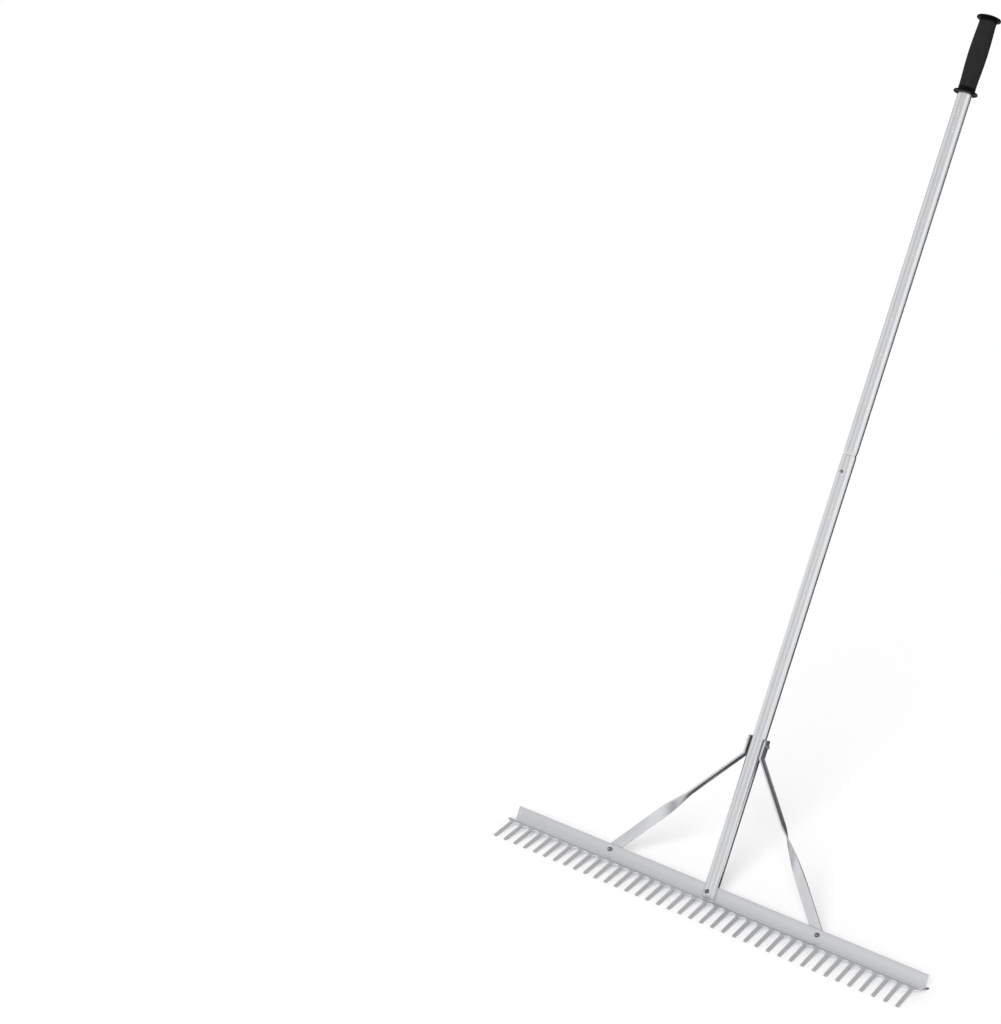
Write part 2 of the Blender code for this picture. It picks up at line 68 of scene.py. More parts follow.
@dataclass(frozen=True)
class Stance:
    """How the rake stands: blade edge and tine tips on the floor, handle leaning back.

    The lean is the slope of the line from the blade's lower edge to the tines' lower tip, and the
    shift brings the lowest point to the floor and the head onto the frame's own head box.
    """

    wall: float = 0.003
    blade_reach: float = 0.0239
    bend_from_axis: float = 0.0274
    slope: float = math.radians(32.4)
    tine_reach: float = 0.0665

    def lip(self, reach: Any, depth: Any) -> Array:
        """Points of the bent lip as (y, z): bend + along * reach + inward * depth.

        Args:
            reach: Distance down the lip from the bend's corner.
            depth: Depth below its upper face.

        Returns:
            Array with y and z on its last axis.
        """
        sine, cosine = math.sin(self.slope), math.cos(self.slope)
        y = -self.bend_from_axis - cosine * reach + sine * depth
        z = -sine * reach - cosine * depth
        return np.stack([y, z], axis=-1)

    def lean(self) -> float:
        """Angle by which the handle leans back, in radians."""
        y, z = self.lip(self.tine_reach, self.wall)
        return math.atan2(-self.wall - z, self.blade_reach - y)

    def matrix(self) -> Array:
        """Four by four matrix from the rake's axes to the floor's.

        Returns:
            Rotation by minus the lean about x, then the shift onto the frame's own head box.
        """
        sine, cosine = math.sin(self.lean()), math.cos(self.lean())
        turn = np.eye(4)
        turn[1, 1] = turn[2, 2] = cosine
        turn[1, 2] = sine
        turn[2, 1] = -sine
        tips = [self.lip(self.tine_reach, depth) for depth in (0.0, self.wall)]
        front = min(cosine * y + sine * z for y, z in tips)
        turn[1, 3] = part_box("rake_head")[0].y - front
        turn[2, 3] = self.blade_reach * sine + self.wall * cosine
        return turn


STANCE = Stance()


# ---- meshes


def moved(points: Array, matrix: Array) -> Array:
    """Points of any leading shape, carried by a four by four matrix."""
    return points @ matrix[:3, :3].T + matrix[:3, 3]


def circle(steps: int) -> Array:
    """Even angles round a circle."""
    return np.arange(steps) * FULL / steps


def rings(radius: Any, height: Any, angle: Array) -> Array:
    """Points (r cos a, r sin a, h), each input repeated over the rows or angles that it lacks."""
    spread = np.broadcast_arrays(radius * np.cos(angle), radius * np.sin(angle), height)
    return np.stack(spread, axis=-1)


def revolve(profile: Array, steps: int, matrix: Optional[Array] = None) -> Tuple[Array, Array]:
    """Turn an outline about z: (r, h) becomes (r cos a, r sin a, h) at even angles a.

    Args:
        profile: Rows of radius and height.
        steps: Number of angles.
        matrix: Optional four by four placement.

    Returns:
        Points as (profile, angle, xyz), and their flat coordinates (arc length, height).
    """
    angle = circle(steps)
    points = rings(profile[:, :1], profile[:, 1:], angle)
    chart = np.stack([profile[:, :1] * 0 + angle * profile[:, 0].max(), points[..., 2]], axis=-1)
    return (points if matrix is None else moved(points, matrix)), chart


def arc(centre: Tuple[float, float], radius: float, start: float, end: float, steps: int) -> Array:
    """Arc: centre plus radius times (cos, sin) of steps + 1 even angles from start to end."""
    angle = np.linspace(start, end, steps + 1)
    return np.asarray(centre) + radius * np.stack([np.cos(angle), np.sin(angle)], axis=1)


def line(start: Sequence[float], end: Sequence[float], steps: int) -> Array:
    """Evenly spaced points of a straight line, its last one left out."""
    share = np.arange(steps)[:, None] / steps
    return np.asarray(start) * (1 - share) + np.asarray(end) * share


def facing(origin: Sequence[float], axis: Sequence[float]) -> Array:
    """Placement whose z runs along an axis from an origin.

    Args:
        origin: Where the local origin goes.
        axis: Where local z points.

    Returns:
        Four by four matrix.
    """
    forward = np.asarray(axis, dtype=float)
    forward = forward / np.linalg.norm(forward)
    helper = (0.0, 0.0, 1.0) if abs(forward[2]) < 0.9 else (1.0, 0.0, 0.0)
    side = np.cross(helper, forward)
    side /= np.linalg.norm(side)
    matrix = np.eye(4)
    matrix[:3] = np.stack([side, np.cross(forward, side), forward, origin], axis=1)
    return matrix


def put(name: str, data: Any, matrix: Optional[Array] = None) -> bpy.types.Object:
    """Add an object to the scene.

    Args:
        name: Its name.
        data: Its mesh, camera or light.
        matrix: Optional four by four placement.

    Returns:
        The object.
    """
    item = bpy.data.objects.new(name, data)
    if matrix is not None:
        item.matrix_world = Matrix(matrix.tolist())
    bpy.context.scene.collection.objects.link(item)
    return item


@dataclass
class Skin:
    """A surface gathered from grids of points, then welded into one mesh."""

    points: List[Array] = field(default_factory=list)
    quads: List[Array] = field(default_factory=list)
    chart: List[Array] = field(default_factory=list)
    caps: List[List[int]] = field(default_factory=list)
    count: int = 0

    def grid(self, points: Array, wrap_rows: bool = False, wrap_columns: bool = False,
             keep: Optional[Array] = None, chart: Optional[Array] = None) -> Array:
        """Add a grid of points joined by quads to their neighbours.

        Args:
            points: Array of rows, columns and x, y, z.
            wrap_rows: Whether the last row joins the first.
            wrap_columns: Whether the last column joins the first.
            keep: Mask of the quads that are kept.
            chart: Flat coordinates of each point, for a pattern that follows the surface.

        Returns:
            The points' numbers, as rows and columns.
        """
        rows, columns = points.shape[:2]
        index = self.count + np.arange(rows * columns).reshape(rows, columns)
        here = index if wrap_rows else index[:-1]
        below = np.roll(index, -1, axis=0) if wrap_rows else index[1:]
        if wrap_columns:
            right, corner = np.roll(here, -1, axis=1), np.roll(below, -1, axis=1)
        else:
            right, corner = here[:, 1:], below[:, 1:]
            here, below = here[:, :-1], below[:, :-1]
        faces = np.stack([here, right, corner, below], axis=-1)
        self.points.append(points.reshape(-1, 3))
        self.quads.append((faces if keep is None else faces[keep]).reshape(-1, 4))
        flat = np.zeros((rows * columns, 2)) if chart is None else chart.reshape(-1, 2)
        self.chart.append(flat)
        self.count += rows * columns
        return index

    def cap(self, numbers: Sequence[int]) -> None:
        """Close a loop of points by one flat face."""
        self.caps.append([int(number) for number in numbers])

    def capped(self, points: Array, chart: Optional[Array] = None) -> None:
        """Add rings of points and close the first and the last by flat faces.

        Args:
            points: Array of rings, angles and x, y, z.
            chart: Flat coordinates of each point.
        """
        index = self.grid(points, wrap_columns=True, chart=chart)
        self.cap(index[0])
        self.cap(index[-1][::-1])

    @classmethod
    def closed(cls, points: Array, chart: Optional[Array] = None) -> "Skin":
        """Skin of one grid that joins up both ways.

        Args:
            points: Array of rows, columns and x, y, z.
            chart: Flat coordinates of each point.

        Returns:
            The skin.
        """
        skin = cls()
        skin.grid(points, wrap_rows=True, wrap_columns=True, chart=chart)
        return skin

    def to_object(self, name: str, weld: float = 2e-6, smooth: float = 40.0) -> bpy.types.Object:
        """Make the object, leaned onto the floor, with its faces pointing out.

        Args:
            name: Name of the piece.
            weld: Distance within which points become one.
            smooth: Angle in degrees above which an edge stays sharp.

        Returns:
            The object, in the scene.
        """
        mesh = bpy.data.meshes.new(name)
        points = moved(np.concatenate(self.points), STANCE.matrix())
        mesh.from_pydata(points.tolist(), [], np.concatenate(self.quads).tolist() + self.caps)
        corner = np.zeros(len(mesh.loops), dtype=np.int32)
        mesh.loops.foreach_get("vertex_index", corner)
        chart = np.concatenate(self.chart)[corner].astype(np.float32).ravel()
        mesh.uv_layers.new(name="along").data.foreach_set("uv", chart)
        shape = bmesh.new()
        shape.from_mesh(mesh)
        bmesh.ops.remove_doubles(shape, verts=shape.verts, dist=weld)
        bmesh.ops.recalc_face_normals(shape, faces=shape.faces)
        shape.to_mesh(mesh)
        shape.free()
        mesh.polygons.foreach_set("use_smooth", np.ones(len(mesh.polygons), dtype=bool))
        mesh.set_sharp_from_angle(angle=math.radians(smooth))
        return put(name, mesh)


# ---- shader maths


class Wire:
    """One shader socket, with arithmetic that adds the Math nodes."""

    def __init__(self, graph: "Graph", socket: bpy.types.NodeSocket) -> None:
        """Hold a socket of a graph."""
        self.graph = graph
        self.socket = socket

    def __add__(self, other: Any) -> "Wire":
        """Sum."""
        return self.graph.math("ADD", self, other)

    def __radd__(self, other: Any) -> "Wire":
        """Sum, reflected."""
        return self.graph.math("ADD", other, self)

    def __sub__(self, other: Any) -> "Wire":
        """Difference."""
        return self.graph.math("SUBTRACT", self, other)

    def __rsub__(self, other: Any) -> "Wire":
        """Difference, reflected."""
        return self.graph.math("SUBTRACT", other, self)

    def __mul__(self, other: Any) -> "Wire":
        """Product."""
        return self.graph.math("MULTIPLY", self, other)

    def __rmul__(self, other: Any) -> "Wire":
        """Product, reflected."""
        return self.graph.math("MULTIPLY", other, self)


class Graph:
    """Node tree of one material or world."""

    def __init__(self, owner: Union[bpy.types.Material, bpy.types.World],
                 bare: bool = False) -> None:
        """Start from the default nodes, or from none where the tree is to be bare.

        Args:
            owner: Material or world.
            bare: Whether its default nodes are removed.
        """
        owner.use_nodes = True
        self.owner = owner
        self.tree = owner.node_tree
        if bare:
            self.tree.nodes.clear()

    def add(self, kind: str, settings: Optional[Dict[str, Any]] = None,
            sockets: Optional[Dict[Any, Any]] = None, output: Any = 0) -> Wire:
        """Add any node.

        Args:
            kind: The node's type.
            settings: Attributes, set before the sockets. "stops" fills a colour ramp.
            sockets: Values or wires by socket name or number.
            output: Name or number of the output that is returned.

        Returns:
            Wire on that output.
        """
        node = self.tree.nodes.new(kind)
        for key, value in (settings or {}).items():
            if key == "stops":
                self.fill_ramp(node.color_ramp, value)
            else:
                setattr(node, key, value)
        for key, value in (sockets or {}).items():
            self.feed(node.inputs[key], value)
        return Wire(self, node.outputs[output])

    def fill_ramp(self, ramp: bpy.types.ColorRamp, stops: Sequence[Tuple[float, float]]) -> None:
        """Give a ramp smooth grey stops.

        Args:
            ramp: The ramp, whose own stops go.
            stops: Place and grey of each stop.
        """
        ramp.interpolation = "CARDINAL"
        while len(ramp.elements) > 1:
            ramp.elements.remove(ramp.elements[-1])
        for number, (place, grey) in enumerate(stops):
            stop = ramp.elements[0] if number == 0 else ramp.elements.new(place)
            stop.position = place
            stop.color = (grey, grey, grey, 1.0)

    def feed(self, socket: bpy.types.NodeSocket, value: Any) -> None:
        """Link a wire to a socket, or set the socket's own value.

        Args:
            socket: Input of a node.
            value: Wire or plain value.
        """
        if isinstance(value, Wire):
            self.tree.links.new(value.socket, socket)
        else:
            socket.default_value = value

    def math(self, operation: str, first: Any, second: Any) -> Wire:
        """Math node on two values or wires."""
        return self.add("ShaderNodeMath", {"operation": operation}, {0: first, 1: second})

    def place(self) -> Wire:
        """Object coordinates."""
        return self.add("ShaderNodeTexCoord", output="Object")

    def ray(self, kind: str) -> Wire:
        """One for rays of a kind, given by Light Path's name for it."""
        return self.add("ShaderNodeLightPath", output=kind)

    def part(self, vector: Wire, axis: str) -> Wire:
        """X, Y or Z of a vector."""
        return self.add("ShaderNodeSeparateXYZ", {}, {0: vector}, axis)

    def mix(self, share: Wire, first: Any, second: Any) -> Wire:
        """Mix two colours by a share."""
        sockets = {0: share, 6: first, 7: second}
        return self.add("ShaderNodeMix", {"data_type": "RGBA"}, sockets, 2)

    def spread(self, value: Wire, low: float, high: float, kind: str = "LINEAR") -> Wire:
        """Stretch a range of a value onto 0 to 1."""
        sockets = {"Value": value, "From Min": low, "From Max": high}
        return self.add("ShaderNodeMapRange", {"interpolation_type": kind}, sockets)

    def between(self, value: Wire, low: float, high: float, soft: float) -> Wire:
        """One where a value lies between two limits, easing to zero about each of them."""
        return (self.spread(value, low - soft, low + soft, "SMOOTHSTEP")
                * self.spread(value, high + soft, high - soft, "SMOOTHSTEP"))

    def shades(self, value: Wire, low: float, high: float, dark: Triple, light: Triple) -> Wire:
        """Colour from dark to light while a value runs from low to high."""
        return self.mix(self.spread(value, low, high), opaque(dark), opaque(light))

    def noise(self, vector: Wire, scale: float, detail: float = 3.0, rough: float = 0.5) -> Wire:
        """Noise between about 0 and 1 on a vector."""
        sockets = {"Vector": vector, "Scale": scale, "Detail": detail, "Roughness": rough}
        return self.add("ShaderNodeTexNoise", {}, sockets, "Fac")

    def bump(self, height: Wire, strength: float, distance: float) -> Wire:
        """Normal of a height field."""
        sockets = {"Strength": strength, "Distance": distance, "Height": height}
        return self.add("ShaderNodeBump", {}, sockets)

    def finish(self, values: Dict[str, Any]) -> bpy.types.Material:
        """Feed the Principled shader and return the material.

        Args:
            values: Values or wires by the name of the input.

        Returns:
            The material.
        """
        for key, value in values.items():
            self.feed(self.tree.nodes["Principled BSDF"].inputs[key], value)
        return self.owner

    def end(self, kind: str, shader: Wire) -> None:
        """Feed a shader to a new output node of a kind."""
        self.feed(self.tree.nodes.new(kind).inputs["Surface"], shader)


class Along(Enum):
    """What a finish's grain follows."""

    HEAD = "head"
    HANDLE = "handle"
    SURFACE = "surface"


def opaque(colour: Triple) -> Tuple[float, float, float, float]:
    """Colour with full alpha."""
    return (*colour, 1.0)


def rake_axes(graph: Graph) -> Wire:
    """Coordinates in the rake's own axes, whose z runs up the handle.

    Args:
        graph: Graph that the nodes are added to.

    Returns:
        Vector wire.
    """
    turn = STANCE.matrix()
    shift = -turn[:3, :3].T @ turn[:3, 3]
    return graph.add("ShaderNodeMapping", {}, {
        "Vector": graph.place(), "Rotation": (STANCE.lean(), 0.0, 0.0), "Location": tuple(shift)})


@dataclass(frozen=True)
class PaintedHeadLight:
    """Factor on the head's colour that paints light: painted highlights on plate and arches,
    painted shade on tine sides and bend.

    Each range is low, high and soft edge in metres. The last four numbers are the changes.
    """

    plate_y: Triple = (-0.028, -0.0010, 0.0006)
    plate_z: Triple = (-0.0006, 0.0007, 0.0003)
    cut_depth: Triple = (0.0005, 0.0025, 0.0003)
    crown_reach: Triple = (0.003, 0.0095, 0.001)
    sides_reach: Triple = (0.012, 0.08, 0.0015)
    crease_reach: Triple = (0.001, 0.0055, 0.001)
    crease_depth: Triple = (-0.003, 0.0005, 0.0005)
    plate: float = 0.52
    crown: float = 0.15
    sides: float = 0.5
    crease: float = 0.12

    def build(self, graph: Graph) -> Wire:
        """Factor of painted highlight and painted shade from the place on the section.

        With b the bend's distance from the tube's axis and s its slope, the depth below the lip's
        face is (y + b) sin s - z cos s, and the reach down it is -(y + b) cos s - z sin s.

        Args:
            graph: Graph that the nodes are added to.

        Returns:
            Wire of the factor.
        """
        own = rake_axes(graph)
        y, z = graph.part(own, "Y"), graph.part(own, "Z")
        out = y + STANCE.bend_from_axis
        sine, cosine = math.sin(STANCE.slope), math.cos(STANCE.slope)
        depth = out * sine - z * cosine
        reach = out * -cosine - z * sine
        cut = graph.between(depth, *self.cut_depth)
        plate = graph.between(y, *self.plate_y) * graph.between(z, *self.plate_z)
        crown = cut * graph.between(reach, *self.crown_reach)
        sides = cut * graph.between(reach, *self.sides_reach)
        crease = (graph.between(reach, *self.crease_reach)
                  * graph.between(depth, *self.crease_depth))
        # painted highlight on the plate and the arch crowns, painted shade on the tine sides and in
        # the bend's crease
        return (1.0 + plate * self.plate + crown * self.crown
                - sides * self.sides - crease * self.crease)


@dataclass(frozen=True)
class DrawnAluminium:
    """Satin aluminium with the fine parallel lines that a die leaves."""

    name: str
    along: Along
    pale: Triple
    deep: Triple
    roughness: float = 0.4
    line_scale: float = 900.0
    line_depth: float = 0.00001
    metallic: float = 0.97

    def coordinates(self, graph: Graph, across: float, lengthwise: float) -> Wire:
        """Coordinates stretched so that a noise on them becomes lines.

        Args:
            graph: The material's graph.
            across: Scale across the grain.
            lengthwise: Scale along the grain.

        Returns:
            Vector wire.
        """
        if self.along is Along.SURFACE:
            source = graph.add("ShaderNodeUVMap", {"uv_map": "along"})
            scale = (across, lengthwise, 1.0)
        else:
            lean = {"Vector": graph.place(), "Rotation": (STANCE.lean(), 0.0, 0.0)}
            source = graph.add("ShaderNodeMapping", {}, lean)
            scale = (across, across, lengthwise)
            if self.along is Along.HEAD:
                scale = (lengthwise, across, across)
        return graph.add("ShaderNodeMapping", {}, {"Vector": source, "Scale": scale})

    def build(self) -> bpy.types.Material:
        """Make the material: fine lines and broad streaks in colour, roughness and bump, and on the
        head painted highlights and painted shade in the colour.

        Returns:
            The material.
        """
        graph = Graph(bpy.data.materials.new(self.name))
        fine = graph.noise(self.coordinates(graph, self.line_scale, 4.0), 1.0, 4.0, 0.6)
        broad = graph.noise(self.coordinates(graph, self.line_scale / 9, 1.5), 1.0, 2.0)
        cloud = graph.noise(self.coordinates(graph, 30.0, 30.0), 1.0, 3.0)
        shade = fine * 0.35 + broad * 0.4 + cloud * 0.25
        colour = graph.shades(shade, 0.36, 0.64, self.deep, self.pale)
        # on the head the colour is scaled by painted highlights and painted shade
        if self.along is Along.HEAD:
            sockets = {0: colour, "Scale": PaintedHeadLight().build(graph)}
            colour = graph.add("ShaderNodeVectorMath", {"operation": "SCALE"}, sockets)
        return graph.finish({
            "Base Color": colour,
            "Roughness": self.roughness - 0.07 + fine * 0.08 + cloud * 0.06,
            "Metallic": self.metallic,
            "Normal": graph.bump(fine, 0.35, self.line_depth),
        })


@dataclass(frozen=True)
class ZincPlate:
    """Zinc plated steel: a fairly bright grey, with dark and pale blotches in the colour that are
    painted reflections.
    """

    name: str = "zinc_painted_reflections"
    pale: Triple = (0.60, 0.60, 0.59)
    deep: Triple = (0.12, 0.12, 0.13)
    roughness: float = 0.24
    cloud_scale: float = 420.0
    grain_scale: float = 4000.0
    grain_depth: float = 0.00002

    def build(self) -> bpy.types.Material:
        """Make the material: painted reflections as dark and pale blotches in the colour, and fine
        grain in roughness and bump.

        Returns:
            The material.
        """
        graph = Graph(bpy.data.materials.new(self.name))
        place = graph.place()
        cloud = graph.noise(place, self.cloud_scale, 4.0)
        grain = graph.noise(place, self.grain_scale, 2.0)
        return graph.finish({
            # painted reflections: blotches from deep to pale stand for dark and bright surroundings
            # mirrored in the metal
            "Base Color": graph.shades(cloud, 0.42, 0.62, self.deep, self.pale),
            "Roughness": self.roughness - 0.06 + grain * 0.16,
            "Metallic": 1.0,
            "Normal": graph.bump(grain, 0.25, self.grain_depth),
        })


@dataclass(frozen=True)
class Moulded:
    """Moulded plastic or rubber with a fine pebbled skin.

    Where a body is given, as a range up the handle, the parts beyond it have the ends' colour.
    """

    name: str
    dark: Triple
    light: Triple
    roughness: float
    specular: float = 0.22
    body: Optional[Tuple[float, float]] = None
    body_edge: float = 0.003
    ends: Triple = (0.004, 0.004, 0.0042)
    pebble_scale: float = 2600.0
    pebble_depth: float = 0.00003
    cloud_scale: float = 90.0

    def build(self) -> bpy.types.Material:
        """Make the material: pebbles from a cell pattern, and a faint cloud in the colour.

        Returns:
            The material.
        """
        graph = Graph(bpy.data.materials.new(self.name))
        place = graph.place()
        sockets = {"Vector": place, "Scale": self.pebble_scale}
        pebble = graph.add("ShaderNodeTexVoronoi", {"feature": "F1"}, sockets, "Distance")
        cloud = graph.noise(place, self.cloud_scale, 4.0)
        colour = graph.shades(cloud, 0.3, 0.7, self.dark, self.light)
        if self.body is not None:
            height = graph.part(rake_axes(graph), "Z")
            inside = graph.between(height, *self.body, self.body_edge)
            colour = graph.mix(inside, opaque(self.ends), colour)
        return graph.finish({
            "Base Color": colour,
            "Roughness": self.roughness - 0.05 + cloud * 0.1,
            "Metallic": 0.0,
            "Specular IOR Level": self.specular,
            "Normal": graph.bump(pebble, 0.4, self.pebble_depth),
        })


@dataclass
class Finishes:
    """Every material of the rake, made once."""

    head: bpy.types.Material
    tube: bpy.types.Material
    bar: bpy.types.Material
    washer: bpy.types.Material
    zinc: bpy.types.Material
    nylon: bpy.types.Material
    rubber: bpy.types.Material

    @classmethod
    def make(cls) -> "Finishes":
        """Build all the materials.

        Returns:
            The set of materials.
        """
        kinds = {
            # the head's finish carries painted highlights on plate and arches and painted shade on
            # tine sides and bend
            "head": DrawnAluminium("head_aluminium_painted_light", Along.HEAD, (0.73, 0.74, 0.76),
                                   (0.70, 0.71, 0.73), 0.32, 900.0, 0.000004),
            "tube": DrawnAluminium("tube_aluminium", Along.HANDLE, (0.72, 0.725, 0.74),
                                   (0.66, 0.67, 0.69), 0.25, 1100.0),
            "bar": DrawnAluminium("bar_aluminium", Along.SURFACE, (0.72, 0.73, 0.75),
                                  (0.68, 0.69, 0.71), 0.36),
            # painted shade: the washers' near black colour stands for the shadow in the gap between
            # tube and tab
            "washer": DrawnAluminium("washer_painted_shade", Along.HANDLE, (0.20, 0.205, 0.21),
                                     (0.12, 0.125, 0.13), 0.45),
            # zinc whose colour carries painted reflections
            "zinc": ZincPlate(),
            "nylon": Moulded("black_nylon", (0.012, 0.012, 0.013), (0.03, 0.03, 0.032), 0.5),
            "rubber": Moulded("grip_rubber", (0.016, 0.016, 0.0165), (0.022, 0.022, 0.0225),
                              0.42, specular=0.02, body=(1.650, 1.785)),
        }
        return cls(**{key: kind.build() for key, kind in kinds.items()})


def dress(item: bpy.types.Object, material: bpy.types.Material,
          replaced: Sequence[str]) -> None:
    """Give a piece its material and its body, and report it.

    Args:
        item: The piece.
        material: Its material.
        replaced: Nodes that the piece stands for.
    """
    item.data.materials.clear()
    item.data.materials.append(material)
    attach(item, "root")
    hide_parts(*replaced)
    LOG.info("%s: %d faces", item.name, len(item.data.polygons))


# ---- head


def joined(x: Array, section: Array) -> Array:
    """Points from x and (y, z), each repeated over the rows or columns that it lacks.

    Args:
        x: Values of x.
        section: Points whose last axis is y, z.

    Returns:
        Points whose last axis is x, y, z.
    """
    shape = np.broadcast_shapes(x.shape, section.shape[:-1])
    across = np.broadcast_to(x, shape)[..., None]
    return np.concatenate([across, np.broadcast_to(section, (*shape, 2))], axis=-1)


@dataclass
class TinedHead:
    """The T-section extrusion with its front lip bent down and cut into tines."""

    length: float = 0.9144
    tines: int = 38
    tine_width: float = 0.0069
    flange_height: float = 0.0249
    inside_bend: float = 0.009
    corner: float = 0.001
    arch_top: float = 0.0061
    edge: float = 0.00035
    tip_corner: float = 0.0007
    columns: int = 6
    arch_steps: int = 12
    shaft_steps: int = 7
    edge_steps: int = 3
    corner_steps: int = 6
    bend_steps: int = 8
    plate_steps: int = 5

    def pitch(self) -> float:
        """Distance from tine to tine."""
        return self.length / self.tines

    def outline(self, inset: float) -> Array:
        """Half width and reach of a tine's edge, from arch top to tip, set in by an amount.

        The arch is a quarter circle of half a gap's width plus the inset, the shaft is straight,
        and the tip's corner is a quarter circle of its radius less the inset.

        Args:
            inset: How far the edge lies inside the full outline.

        Returns:
            Rows of half width and reach.
        """
        gap = (self.pitch() - self.tine_width) / 2
        half = self.tine_width / 2
        quarter = np.linspace(0, QUARTER, self.arch_steps + 1)
        start = self.arch_top + gap
        end = STANCE.tine_reach - self.tip_corner
        shaft = start + (end - start) * np.arange(1, self.shaft_steps) / self.shaft_steps
        return np.concatenate([
            np.stack([self.pitch() / 2 - (gap + inset) * np.sin(quarter),
                      start - (gap + inset) * np.cos(quarter)], axis=1),
            np.stack([np.full_like(shaft, half - inset), shaft], axis=1),
            arc((half - self.tip_corner, end), self.tip_corner - inset, 0.0, QUARTER,
                self.edge_steps),
        ])

    def edge_layers(self) -> Tuple[Array, Array]:
        """Inset and depth of the layers of a cut edge: two quarter rounds and a flat between.

        Returns:
            Insets and depths, from upper face to lower face.
        """
        turn = np.linspace(0, QUARTER, self.edge_steps + 1)
        inset = self.edge * (1 - np.sin(turn))
        depth = self.edge * (1 - np.cos(turn))
        return (np.concatenate([inset, inset[::-1]]),
                np.concatenate([depth, STANCE.wall - depth[::-1]]))

    def body_path(self) -> Array:
        """Section of the uncut part, from the lip's upper face round to its lower one.

        Returns:
            Rows of y and z. Corners are arcs, and the rest are straight.
        """
        wall, half, blade = STANCE.wall, STANCE.wall / 2, STANCE.blade_reach
        outer = self.inside_bend + wall
        bend = -STANCE.bend_from_axis + outer * math.tan(STANCE.slope / 2)
        turned = QUARTER + STANCE.slope
        start = self.arch_top - self.edge
        e, r, top = self.edge, self.corner, self.flange_height
        small, fillet, wide = self.edge_steps, self.corner_steps, self.bend_steps
        return np.concatenate([
            [STANCE.lip(start, 0.0)],
            arc((bend, -outer), outer, turned, QUARTER, wide),
            line((bend, 0.0), (-half - r, 0.0), self.plate_steps)[1:],
            arc((-half - r, r), r, -QUARTER, 0.0, fillet),
            line((-half, r), (-half, top - e), small)[1:],
            arc((-half + e, top - e), e, math.pi, QUARTER, small),
            arc((half - e, top - e), e, QUARTER, 0.0, small),
            line((half, top - e), (half, r), small)[1:],
            arc((half + r, r), r, math.pi, 3 * QUARTER, fillet),
            arc((blade - e, -e), e, QUARTER, 0.0, small),
            arc((blade - e, -wall + e), e, 0.0, -QUARTER, small),
            line((blade - e, -wall), (bend, -wall), wide)[1:],
            arc((bend, -outer), self.inside_bend, QUARTER, turned, wide),
            [STANCE.lip(start, wall)],
        ])

    def build(self, finishes: Finishes) -> None:
        """Make the head, one cell for each tine, and close its two ends.

        Args:
            finishes: The rake's materials.
        """
        skin = Skin()
        across = np.linspace(-1, 1, self.columns + 1)
        path = self.body_path()
        inset, depth = self.edge_layers()
        half, reach = self.outline(self.edge).T
        rims = np.stack([self.outline(value) for value in inset], axis=1)
        place = STANCE.lip(rims[..., 1], depth)
        last = self.tines - 1
        for number, centre in enumerate((np.arange(self.tines) - last / 2) * self.pitch()):
            body = skin.grid(joined(centre + across * self.pitch() / 2, path[:, None]))
            for level in (0.0, STANCE.wall):
                face = STANCE.lip(reach, level)[:, None]
                skin.grid(joined(centre + half[:, None] * across, face))
            loops = [skin.grid(joined(centre + side * rims[..., 0], place)) for side in (-1, 1)]
            tip = centre + across * (self.tine_width / 2 - self.tip_corner)
            skin.grid(joined(tip[:, None], place[-1]))
            for cell, end in ((0, 0), (last, -1)):
                if number == cell:
                    skin.cap([*body[:, end], *loops[end][0, -2:0:-1]])
        item = skin.to_object("tined_head", smooth=38.0)
        dress(item, finishes.head, ["rake_head"])


# ---- handle


